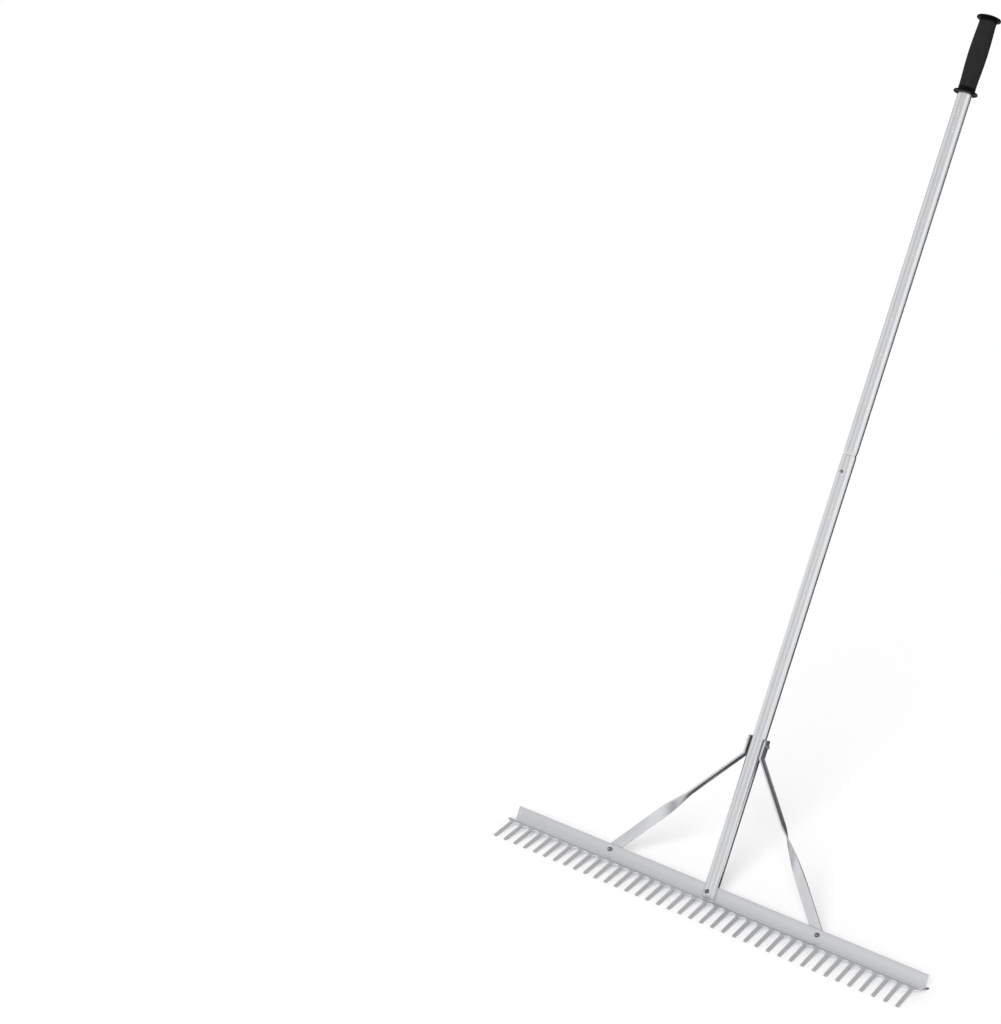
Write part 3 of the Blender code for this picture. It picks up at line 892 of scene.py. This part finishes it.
@dataclass
class Handle:
    """Two aluminium tubes, the upper one plugged into the lower, and a moulded grip."""

    radius: float = 0.0143
    wall: float = 0.0016
    foot: float = 0.0005
    rim: float = 0.896
    plug: float = 0.078
    taper: float = 0.010
    neck_ease: float = 1.8
    top: float = 1.786
    gap: float = 0.0003
    slot_height: float = 0.0252
    slot_half_width: float = 0.0018
    eased_edge: float = 0.00025
    grip_bottom: float = 1.639
    grip_top: float = 1.7985
    neck: float = 0.0171
    belly: float = 0.0191
    swell: float = 1.2
    collar: float = 0.0243
    collar_inset: float = 0.0018
    collar_round: float = 0.0017
    foot_round: float = 0.0011
    collar_thickness: float = 0.0045
    dome: float = 0.0035
    sunk: float = 0.0001
    foot_lift: float = 0.0022
    lower_flare: Tuple[float, float] = (0.0082, 0.0046)
    upper_flare: float = 0.0029
    body_ends: Tuple[float, float] = (0.0086, 0.0032)
    swell_ends: Tuple[float, float] = (0.022, 0.010)
    steps: int = 128
    rows: int = 30
    neck_steps: int = 13
    body_steps: int = 70
    grip_steps: int = 96
    flare_steps: int = 14
    round_steps: int = 8

    def lower_tube(self, finishes: Finishes) -> None:
        """Cylinder with a slot across its foot, given a wall and eased edges.

        The surface is (R cos a, R sin a, z) on rows of z and columns of a. Columns stand at the
        slot's edges, where sin a is its half width over R, and the quads inside it are left out.

        Args:
            finishes: The rake's materials.
        """
        edge = math.asin(self.slot_half_width / self.radius)
        regular = np.linspace(edge, math.pi - edge, self.steps // 2)
        angle = np.concatenate([regular, regular + math.pi])
        above = np.linspace(self.slot_height + 0.02, self.rim - 0.002, self.rows)
        height = np.concatenate([[self.foot, self.slot_height], above, [self.rim]])
        keep = np.ones((len(height) - 1, len(angle)), dtype=bool)
        keep[0, [self.steps // 2 - 1, -1]] = False
        skin = Skin()
        skin.grid(rings(self.radius, height[:, None], angle), wrap_columns=True, keep=keep)
        item = skin.to_object("lower_tube")
        solid = item.modifiers.new("wall", "SOLIDIFY")
        solid.thickness = self.wall
        solid.offset = -1.0
        solid.use_even_offset = True
        ease = item.modifiers.new("eased_edges", "BEVEL")
        ease.width = self.eased_edge
        ease.segments = 2
        ease.limit_method = "ANGLE"
        ease.angle_limit = math.radians(50)
        bake_modifiers(item)
        item.data.set_sharp_from_angle(angle=math.radians(40))
        dress(item, finishes.tube, ["handle_lower_tube"])

    def upper_tube(self, finishes: Finishes) -> None:
        """Closed outline turned about the handle: wall, drawn-in neck and plug.

        The neck widens by 1 - (1 - t)^1.8 from the rim up.

        Args:
            finishes: The rake's materials.
        """
        inner = self.radius - self.wall
        slim = inner - self.gap
        low, shoulder = self.rim - self.plug, self.rim + self.gap
        share = np.linspace(0, 1, self.neck_steps)
        wide = slim + (self.radius - slim) * (1 - (1 - share) ** self.neck_ease)
        neck = np.stack([wide, shoulder + self.taper * share], axis=1)
        rise = np.linspace(shoulder + self.taper + 0.01, self.top - 0.001, self.rows)
        outer = np.stack([np.full(self.rows, self.radius), rise], axis=1)
        outside = [[[slim, low]], neck, outer, [[self.radius, self.top]]]
        inside = [[[inner, self.top]], neck[::-1] - (self.wall, 0.0), [[slim - self.wall, low]]]
        surface = revolve(np.concatenate(outside + inside), self.steps)
        item = Skin.closed(*surface).to_object("upper_tube")
        dress(item, finishes.tube, ["handle_upper_tube"])

    def grip_outline(self) -> Array:
        """Outline of the grip, from its foot round to the tube's top.

        The body swells by a sine to the power 1.2 and opens into each collar along a quarter
        ellipse, r = neck + a (1 - cos t) and z = z0 + h sin t. The top is a shallow paraboloid.

        Returns:
            Rows of radius and height.
        """
        low, high = self.grip_bottom, self.grip_top - self.dome
        under = high - self.collar_thickness
        bore, cover = self.radius + self.gap, self.top + self.gap
        edge, rounded = self.collar - self.collar_inset, self.collar_round
        body = np.linspace(low + self.body_ends[0], under - self.body_ends[1], self.body_steps)
        start, end = low + self.swell_ends[0], under - self.swell_ends[1]
        swell = np.sin(math.pi * np.clip((body - start) / (end - start), 0, 1)) ** self.swell
        turn = np.linspace(0, QUARTER, self.flare_steps)
        flare = self.neck + (edge - self.neck) * (1 - np.cos(turn))
        reach = edge * np.cos(np.linspace(0.1, 1, self.flare_steps) * QUARTER)
        crown = high - self.sunk + self.dome * (1 - (reach / edge) ** 2)
        crown[-1], reach[-1] = self.grip_top - self.sunk, 0.0
        foot, (flare_top, flare_height) = low + self.foot_lift, self.lower_flare
        return np.concatenate([
            [[bore, foot], [self.neck, foot], [self.neck + 0.002, low + 0.0011]],
            arc((self.collar - 0.0012, low + 0.0013), self.foot_round, -QUARTER, 0.0, 6),
            arc((edge, low + 0.0019), rounded, 0.0, QUARTER, self.round_steps)[1:-1],
            np.stack([flare, low + flare_top - flare_height * np.sin(turn)], axis=1)[::-1],
            np.stack([self.neck + (self.belly - self.neck) * swell, body], axis=1),
            np.stack([flare, under - self.upper_flare + self.upper_flare * np.sin(turn)], axis=1),
            arc((edge, under + rounded), rounded, -QUARTER, 0.0, self.round_steps)[1:],
            arc((edge, high - self.collar_inset), rounded, 0.0, QUARTER, self.round_steps),
            np.stack([reach, crown], axis=1),
            [[0.0, cover], [bore, cover]],
        ])

    def grip(self, finishes: Finishes) -> None:
        """The moulded grip, closed over the tube.

        Args:
            finishes: The rake's materials.
        """
        surface = revolve(self.grip_outline(), self.grip_steps)
        item = Skin.closed(*surface).to_object("moulded_grip", smooth=55.0)
        dress(item, finishes.rubber, ["grip"])

    def build(self, finishes: Finishes) -> None:
        """Make the tubes and the grip.

        Args:
            finishes: The rake's materials.
        """
        self.lower_tube(finishes)
        self.upper_tube(finishes)
        self.grip(finishes)


def bake_modifiers(item: bpy.types.Object) -> None:
    """Replace a piece's mesh by the result of its modifiers.

    Args:
        item: The piece.
    """
    graph = bpy.context.evaluated_depsgraph_get()
    graph.update()
    mesh = bpy.data.meshes.new_from_object(item.evaluated_get(graph))
    item.modifiers.clear()
    item.data = mesh


# ---- braces


@dataclass
class Brace:
    """Flat bar: a tab beside the tube, a bend, a quarter twist, and a foot behind the flange."""

    side: int
    width: float = 0.0215
    thickness: float = 0.0035
    tab_top: float = 0.3233
    bend_height: float = 0.2868
    bend_radius: float = 0.0035
    foot_x: float = 0.2322
    foot_z: float = 0.0140
    tab_inner: float = 0.0159
    foot_y: float = 0.00355
    twist_start: float = 0.133
    left_delay: float = 0.011
    twist_length: float = 0.150
    twist_ease: float = 2.2
    twist_onset: float = 1.4
    tab_corner: float = 0.004
    edge: float = 0.0004
    spare: float = 0.002
    tab_steps: int = 8
    bend_steps: int = 12
    bar_steps: int = 120
    end_steps: int = 13

    def stations(self) -> Tuple[Array, Array, Array, Array]:
        """Centre, tilt in the xz plane, twist and half width along the bar.

        The centre runs down the tab, round the bend and straight to the foot. Over the twist's
        length t goes from 0 to 1, and the bar turns by a quarter turn times
        (1 - (1 - t)^2.2)^1.4.

        Returns:
            Centres, tilts, twists and half widths.
        """
        half = self.width / 2
        x = self.tab_inner + self.thickness / 2
        bend = np.array([x, 0.0, self.bend_height])
        span = np.array([self.foot_x, self.foot_y, self.foot_z]) - bend
        length = float(np.linalg.norm(span))
        run = span / length
        lean = math.atan2(span[0], -span[2])
        easing = self.bend_radius * math.tan(lean / 2)
        quarter = np.linspace(0, QUARTER, self.tab_steps + 1)
        lowest = self.bend_height + easing + self.spare
        tab_z = np.concatenate([
            self.tab_top - self.tab_corner * (1 - np.cos(quarter)),
            np.linspace(self.tab_top - 2 * self.tab_corner, lowest, self.tab_steps)])
        tab = np.stack([np.full_like(tab_z, x), 0 * tab_z, tab_z], axis=1)
        tilt = np.linspace(0, lean, self.bend_steps + 1)
        pivot = np.array([x + self.bend_radius, 0.0, self.bend_height + easing])
        curve = pivot - self.bend_radius * across_bar(tilt)
        along = np.linspace(easing + self.spare, length, self.bar_steps)
        turn = np.linspace(0, QUARTER, self.end_steps + 1)[1:]
        distance = np.concatenate([along, length + half * np.sin(turn)])
        start = self.twist_start + (self.left_delay if self.side < 0 else 0.0)
        share = np.clip((along - start) / self.twist_length, 0, 1)
        eased = (1 - (1 - share) ** self.twist_ease) ** self.twist_onset * math.pi / 2
        plain = len(tab) + len(curve)
        return (
            np.concatenate([tab, curve, bend + run * distance[:, None]]),
            np.concatenate([np.zeros(len(tab)), tilt, np.full(len(distance), lean)]),
            np.concatenate([np.zeros(plain), eased, np.full(len(turn), QUARTER)]),
            np.concatenate([
                half - self.tab_corner + self.tab_corner * np.sin(quarter),
                np.full(self.tab_steps + len(curve) + len(along), half),
                half * np.cos(turn) + 0.00002]),
        )

    def section(self) -> Array:
        """Half of the bar's rounded rectangle: offsets from the half width, and heights.

        Returns:
            The two as rows.
        """
        t, e = self.thickness / 2, self.edge
        return np.concatenate([
            arc((-e, -t + e), e, -QUARTER, 0.0, 3), arc((-e, t - e), e, 0.0, QUARTER, 3)]).T

    def build(self, name: str, node: str, finishes: Finishes) -> None:
        """Carry the section along the bar.

        Args:
            name: Name of the piece.
            node: Node that it stands for.
            finishes: The rake's materials.
        """
        centres, tilts, twists, halves = self.stations()
        offset, height = self.section()
        outward = across_bar(tilts)
        back = np.array([0.0, 1.0, 0.0])
        cosine, sine = np.cos(twists)[:, None], np.sin(twists)[:, None]
        normal = outward * cosine + back * sine
        wide = back * cosine - outward * sine
        u = halves[:, None] - np.minimum(-offset, halves[:, None])
        u = np.concatenate([u, -u[:, ::-1]], axis=1)
        v = np.broadcast_to(np.concatenate([height, height[::-1]]), u.shape)
        points = centres[:, None] + wide[:, None] * u[..., None] + normal[:, None] * v[..., None]
        points[..., 0] *= self.side
        steps = np.linalg.norm(np.diff(centres, axis=0), axis=1)
        travelled = np.concatenate([[0.0], np.cumsum(steps)])
        chart = np.stack([u + v, np.broadcast_to(travelled[:, None], u.shape)], axis=-1)
        skin = Skin()
        skin.capped(points, chart)
        item = skin.to_object(name, smooth=35.0)
        dress(item, finishes.bar, [node])


def across_bar(tilt: Array) -> Array:
    """Direction square to a bar's face at a tilt, (cos, 0, sin)."""
    return np.stack([np.cos(tilt), np.zeros(len(tilt)), np.sin(tilt)], axis=1)


@dataclass
class Spacer:
    """Washer between tube and tab: flat outside, hollowed to the tube inside."""

    side: int
    height: float = 0.3110
    tube: float = 0.0146
    outer_face: float = 0.0156
    radius: float = 0.0055
    bore: float = 0.00275
    ease: float = 0.0003
    steps: int = 64

    def build(self, name: str, node: str, finishes: Finishes) -> None:
        """Rings of (y, z) = rho (cos a, sin a): x is the flat, or sqrt(tube^2 - y^2) inside.

        Args:
            name: Name of the piece.
            node: Node that it stands for.
            finishes: The rake's materials.
        """
        rho = np.array([self.bore, self.bore + 0.001, self.radius * 0.7,
                        self.radius - self.ease, self.radius])[:, None]
        y, z = rho * np.cos(circle(self.steps)), rho * np.sin(circle(self.steps))
        flat = np.full_like(y, self.outer_face)
        flat[-1] -= self.ease
        hollow = np.sqrt(self.tube ** 2 - y ** 2)
        outside, inside = (np.stack([x, y, z], axis=-1) for x in (flat, hollow))
        points = np.concatenate([outside, inside[::-1]])
        points[..., 0] *= self.side
        points[..., 2] += self.height
        # the washer's near black finish is painted shade of the gap between tube and tab
        dress(Skin.closed(points).to_object(name), finishes.washer, [node])


# ---- fasteners


@dataclass
class Fastening:
    """A hex bolt, its lock nut and the nylon ring in the nut."""

    name: str
    head_seat: Triple
    nut_seat: Triple
    suffix: str = ""
    across_flats: float = 0.008
    turned_off: float = 0.95
    head_height: float = 0.0035
    nut_height: float = 0.0035
    collar_height: float = 0.0015
    collar_radius: float = 0.00385
    collar_round: float = 0.0007
    ring_radius: float = 0.0033
    shank: float = 0.0024
    beyond: float = 0.0008
    gap: float = 0.0003
    thread_pitch: float = 0.0008
    thread_depth: float = 0.00035
    thread_fade: float = 0.0004
    hex_steps: int = 96
    shank_steps: int = 40
    ring_steps: int = 64
    smooth: float = 25.0

    def label(self, word: str) -> str:
        """Name of a piece or a node of this fastening."""
        return self.name + "_" + word + self.suffix

    def frame(self) -> Tuple[Array, Array, float]:
        """Placements of the bolt and of the nut, and the length that they clamp.

        Returns:
            Both placements and the length.
        """
        start, end = np.array(self.head_seat), np.array(self.nut_seat)
        grip = float(np.linalg.norm(end - start))
        axis = (end - start) / grip
        gap = axis * self.gap
        return facing(start - gap, axis), facing(end + gap, axis), grip + 2 * self.gap

    def hex_side(self, low: float, high: float, ease_low: bool, ease_high: bool) -> Array:
        """Rings of a hexagon whose corners are turned off by a 30 degree cone at chosen ends.

        A side's distance is half the flats over the cosine of the turn from its middle.

        Args:
            low: Height of the lower face.
            high: Height of the upper face.
            ease_low: Whether the lower corners are turned off.
            ease_high: Whether the upper corners are turned off.

        Returns:
            Points as rings, angles and x, y, z, from lower face to upper face.
        """
        angle = circle(self.hex_steps)
        turn = (angle + math.pi / 6) % (math.pi / 3) - math.pi / 6
        edge = self.across_flats / 2 / np.cos(turn)
        flat = np.full_like(edge, self.across_flats / 2 * self.turned_off)
        drop = (edge - flat) * math.tan(math.radians(30))
        height = [low + 0 * flat, low + drop * ease_low, high - drop * ease_high, high + 0 * flat]
        return rings(np.stack([flat, edge, edge, flat]), np.stack(height), angle)

    def threaded(self, low: float, high: float) -> Array:
        """Shank whose radius falls and rises once a pitch along a helix, fading at its end.

        Args:
            low: Where the thread starts.
            high: Where the bolt ends.

        Returns:
            Points as rows, angles and x, y, z.
        """
        rows = max(24, int((high - low) / self.thread_pitch * 8))
        height = np.linspace(low, high, rows)[:, None]
        angle = circle(self.shank_steps)
        phase = (height / self.thread_pitch - angle / FULL) % 1.0
        groove = np.abs(phase - 0.5) * 2
        fade = np.clip((high - height) / self.thread_pitch, 0, 1)
        radius = self.shank - self.thread_depth * (1 - groove) - self.thread_fade * (1 - fade)
        return rings(radius, height, angle)

    def bolt(self, finishes: Finishes) -> None:
        """Hex head with a turned crown, plain shank and threaded end.

        Args:
            finishes: The rake's materials.
        """
        place, _, grip = self.frame()
        reach = grip + self.nut_height + self.collar_height + self.beyond
        start = max(0.002, grip - 0.004)
        plain = np.array([[self.shank, 0.0], [self.shank, start]])
        shaft = [revolve(plain, self.shank_steps)[0], self.threaded(start + 1e-5, reach)]
        skin = Skin()
        skin.capped(moved(np.concatenate(shaft), place))
        skin.capped(moved(self.hex_side(-self.head_height, 0.0, True, False), place))
        item = skin.to_object(self.label("hex_bolt"), smooth=self.smooth)
        dress(item, finishes.zinc, [self.label("bolt")])

    def nut(self, finishes: Finishes) -> None:
        """Hexagon, rounded collar and stepped bore, closed on itself.

        Args:
            finishes: The rake's materials.
        """
        _, place, _ = self.frame()
        low, top, r = self.nut_height, self.nut_height + self.collar_height, self.collar_round
        outer, ring, bore = self.collar_radius, self.ring_radius, self.shank + self.gap
        collar = np.concatenate([
            [[outer, low], [outer, top - r]], arc((outer - r, top - r), r, 0.0, QUARTER, 5),
            [[ring - 0.0001, top], [ring - 0.0001, top - self.gap], [ring, top - self.gap]],
            [[ring, low], [bore, low], [bore, 0.0]],
        ])
        hexes = self.hex_side(0.0, low, True, True)
        shape = np.concatenate([hexes, revolve(collar, self.hex_steps)[0]])
        skin = Skin.closed(moved(shape, place))
        item = skin.to_object(self.label("hex_nut"), smooth=self.smooth)
        dress(item, finishes.zinc, [self.label("lock_nut")])

    def ring(self, finishes: Finishes) -> None:
        """Nylon ring: a rounded band between nut and thread.

        Args:
            finishes: The rake's materials.
        """
        _, place, _ = self.frame()
        low, top = self.nut_height + 0.0001, self.nut_height + self.collar_height - 0.0004
        outer, inner = self.ring_radius - 0.00002, self.shank + 0.00003
        profile = np.array([
            [outer, low], [outer, top], [self.ring_radius - 0.0003, top + 0.0003],
            [self.shank + 0.0002, top + 0.00025], [inner, top], [inner, low]])
        skin = Skin.closed(*revolve(profile, self.ring_steps, place))
        item = skin.to_object(self.label("nylon_ring"))
        dress(item, finishes.nylon, [self.label("nut_insert")])

    def build(self, finishes: Finishes) -> None:
        """Make all three pieces.

        Args:
            finishes: The rake's materials.
        """
        self.bolt(finishes)
        self.nut(finishes)
        self.ring(finishes)


@dataclass
class SpringButton:
    """The round button on the handle's front that holds the two tubes together.

    The photograph shows nothing on the far side, so it stands for the solids' bolt and nut there.
    """

    height: float = 0.8614
    radius: float = 0.0036
    proud: float = 0.0032
    root: float = 0.0040
    dome: float = 0.0013
    steps: int = 72

    def build(self, finishes: Finishes) -> None:
        """Pin turned about an axis square to the tube, its top r = a cos t and h = b + c sin t.

        Args:
            finishes: The rake's materials.
        """
        turn = np.linspace(0, QUARTER, 14)
        crown = np.stack([
            self.radius * np.cos(turn), self.proud - self.dome * (1 - np.sin(turn))], axis=1)
        crown[-1, 0] = 0.0
        profile = np.concatenate([[[0.0, -self.root], [self.radius, -self.root]], crown])
        place = facing((0.0, -Handle.radius, self.height), (0.0, -1.0, 0.0))
        points, chart = revolve(profile, self.steps, place)
        skin = Skin()
        skin.grid(points, wrap_columns=True, chart=chart)
        item = skin.to_object("spring_button", smooth=50.0)
        replaced = ["joint_bolt", "joint_lock_nut", "joint_nut_insert"]
        dress(item, finishes.zinc, replaced)


def fastenings() -> List[Fastening]:
    """Every bolt of the rake, from the faces that it clamps.

    Returns:
        The bolts of both braces, the head and the tabs.
    """
    tube, flange = Handle.radius, STANCE.wall / 2
    x, z = Brace.foot_x, Brace.foot_z
    brace_back, head_z, tab_outer = 0.0053, 0.0123, 0.0194
    return [
        Fastening("brace", (-x, brace_back, z), (-x, -flange, z), "_left"),
        Fastening("brace", (x, brace_back, z), (x, -flange, z), "_right"),
        Fastening("head", (0.0, tube, head_z), (0.0, -tube, head_z)),
        Fastening("tab", (-tab_outer, 0.0, Spacer.height), (tab_outer, 0.0, Spacer.height)),
    ]


# ---- studio


@dataclass
class Studio:
    """Pale floor, soft lamps and the photograph's viewpoint."""

    picture_height: float = 1024.0
    focal_pixels: float = 2126.6
    horizon_row: float = 450.0
    camera_place: Triple = (1.680172, -3.81652, 0.5781)
    forward: Triple = (-0.540008, 0.841159, 0.029025)
    right: Triple = (0.805298, 0.506344, 0.3084)
    floor_size: float = 40.0
    floor_grey: float = 0.9
    floor_lift: float = 0.17
    fill: float = 0.6
    sun: float = 2.3
    sun_from: Triple = (0.27, -0.86, 0.46)
    sun_spread: float = math.radians(18)
    overhead: float = 0.55
    overhead_from: Tuple[float, float] = (0.45, 0.7)
    brightest: float = 1.25
    surroundings: Tuple[Tuple[float, float], ...] = (
        (-180, 0.9), (-163, 1.02), (-140, 0.88), (-122, 0.7), (-112, 0.82), (-103, 0.89),
        (-84, 1.03), (-68, 0.87), (-56, 0.76), (-42, 0.86), (-28, 1.06), (-8, 1.24), (8, 1.1),
        (22, 0.82), (38, 0.38), (58, 0.08), (76, 0.03), (92, 0.1), (108, 0.7), (125, 0.7),
        (150, 0.6), (172, 0.86), (180, 0.9))
    dark: float = 0.02
    cards: Tuple[Tuple[str, float, Tuple[Tuple[float, float], ...]], ...] = (
        ("floor_card", 0.004, ((-0.219, 0.45), (0.786, 0.45), (33.0, 28.0), (4.0, 30.0))),
        ("near_card", 0.004, ((-0.06, -0.12), (0.12, -0.12), (0.786, 0.45), (-0.12, 0.45))),
        ("brace_card", 0.004, ((-0.24, -0.06), (-0.0663, -0.06), (-0.0795, 0.065),
                               (-0.25, 0.065))),
        ("foot_card", 0.004, ((0.0, -0.222), (0.1, -0.2), (0.2, -0.12), (0.0, -0.12))),
        ("end_card", 0.0001, ((0.4573, -0.256), (0.4667, -0.245), (0.4667, -0.226),
                              (0.4573, -0.21))),
    )

    def camera(self) -> None:
        """Camera from its place and axes in the rake's own axes, leaned as the rake is."""
        turn = STANCE.matrix()
        forward = np.array(self.forward) / np.linalg.norm(self.forward)
        right = np.array(self.right) - forward * float(np.dot(self.right, forward))
        right /= np.linalg.norm(right)
        axes = np.stack([right, np.cross(right, forward), -forward], axis=1)
        matrix = np.eye(4)
        matrix[:3, :3] = turn[:3, :3] @ axes
        matrix[:3, 3] = turn[:3, :3] @ np.array(self.camera_place) + turn[:3, 3]
        data = bpy.data.cameras.new("camera")
        data.sensor_fit = "VERTICAL"
        data.sensor_height = 36.0
        data.lens = self.focal_pixels * data.sensor_height / self.picture_height
        data.shift_y = (self.horizon_row - self.picture_height / 2) / self.picture_height
        data.clip_end = 100.0
        bpy.context.scene.camera = put("camera", data, matrix)

    def sheet(self, name: str, height: float,
              corners: Sequence[Tuple[float, float]]) -> bpy.types.Object:
        """Flat four-sided stage piece without a material.

        Args:
            name: Its name.
            height: Height of all its corners.
            corners: Their x and y.

        Returns:
            The piece.
        """
        mesh = bpy.data.meshes.new(name)
        mesh.from_pydata([(*corner, height) for corner in corners], [], [(0, 1, 2, 3)])
        item = put(name, mesh)
        return item

    def surface(self, item: bpy.types.Object, graph: Graph, shader: Wire) -> None:
        """Give a stage piece the material that ends in a shader."""
        graph.end("ShaderNodeOutputMaterial", shader)
        item.data.materials.append(graph.owner)

    def floor(self) -> None:
        """Large floor: pale to every ray, and lifted to white where it is seen or mirrored."""
        size = self.floor_size
        corners = [(-size, -size), (size, -size), (size, size), (-size, size)]
        item = self.sheet("floor", 0.0, corners)
        graph = Graph(bpy.data.materials.new("floor"), bare=True)
        seen = graph.math("MAXIMUM", graph.ray("Is Camera Ray"), graph.ray("Is Glossy Ray"))
        seen = graph.math("MAXIMUM", seen, graph.ray("Is Transmission Ray"))
        matt = graph.add("ShaderNodeBsdfDiffuse", {}, {"Color": opaque((self.floor_grey,) * 3)})
        glow = graph.add("ShaderNodeEmission", {}, {"Strength": seen * self.floor_lift})
        self.surface(item, graph, graph.add("ShaderNodeAddShader", {}, {0: matt, 1: glow}))

    def dark_cards(self) -> None:
        """Grey cards that only reflections meet."""
        for name, height, corners in self.cards:
            item = self.sheet(name, height, corners)
            graph = Graph(bpy.data.materials.new(name), bare=True)
            glow = graph.add("ShaderNodeEmission", {}, {"Color": opaque((self.dark,) * 3)})
            self.surface(item, graph, glow)
            item.visible_camera = item.visible_diffuse = item.visible_shadow = False

    def world(self) -> None:
        """White to the camera, pale and dark strips in reflections, an even fill for the rest."""
        graph = Graph(bpy.data.worlds.new("studio"), bare=True)
        place = graph.add("ShaderNodeTexCoord", output="Generated")
        x, y, z = (graph.part(place, axis) for axis in "XYZ")
        bearing = graph.spread(graph.math("ARCTAN2", y, x), -math.pi, math.pi)
        stops = [((turn + 180) / 360, level / self.brightest)
                 for turn, level in self.surroundings]
        strips = graph.add("ShaderNodeValToRGB", {"stops": stops}, {0: bearing})
        tone = graph.add("ShaderNodeMix", {}, {
            "Factor": graph.spread(z, *self.overhead_from, "SMOOTHSTEP"),
            "A": strips * self.brightest, "B": self.overhead})
        fill, white, mirrored = (
            graph.add("ShaderNodeBackground", {}, {"Color": opaque((1.0,) * 3), "Strength": level})
            for level in (self.fill, 1.0, tone))
        rest = graph.add("ShaderNodeMixShader", {}, {
            0: graph.ray("Is Glossy Ray"), 1: fill, 2: mirrored})
        graph.end("ShaderNodeOutputWorld", graph.add("ShaderNodeMixShader", {}, {
            0: graph.ray("Is Camera Ray"), 1: rest, 2: white}))
        bpy.context.scene.world = graph.owner

    def lamp(self) -> None:
        """Wide soft lamp far off in front, which casts the shadows and isn't mirrored."""
        data = bpy.data.lights.new("key", "SUN")
        data.energy = self.sun
        data.angle = self.sun_spread
        item = put("key", data, facing((0.0, 0.0, 3.0), self.sun_from))
        item.visible_glossy = False

    def build(self) -> None:
        """Set the whole studio up."""
        self.camera()
        self.floor()
        self.world()
        self.dark_cards()
        self.lamp()
        bpy.context.scene.view_settings.view_transform = "Standard"


def main() -> None:
    """Build every piece in order, and the studio."""
    logging.basicConfig(level=logging.INFO, format="%(name)s: %(message)s")
    finishes = Finishes.make()
    TinedHead().build(finishes)
    Handle().build(finishes)
    for word, side in (("left", -1), ("right", 1)):
        Brace(side).build("twisted_brace_" + word, "brace_" + word, finishes)
        Spacer(side).build("saddle_washer_" + word, "tab_spacer_" + word, finishes)
    for fastening in fastenings():
        fastening.build(finishes)
    SpringButton().build(finishes)
    Studio().build()


if __name__ == "__main__":
    main()
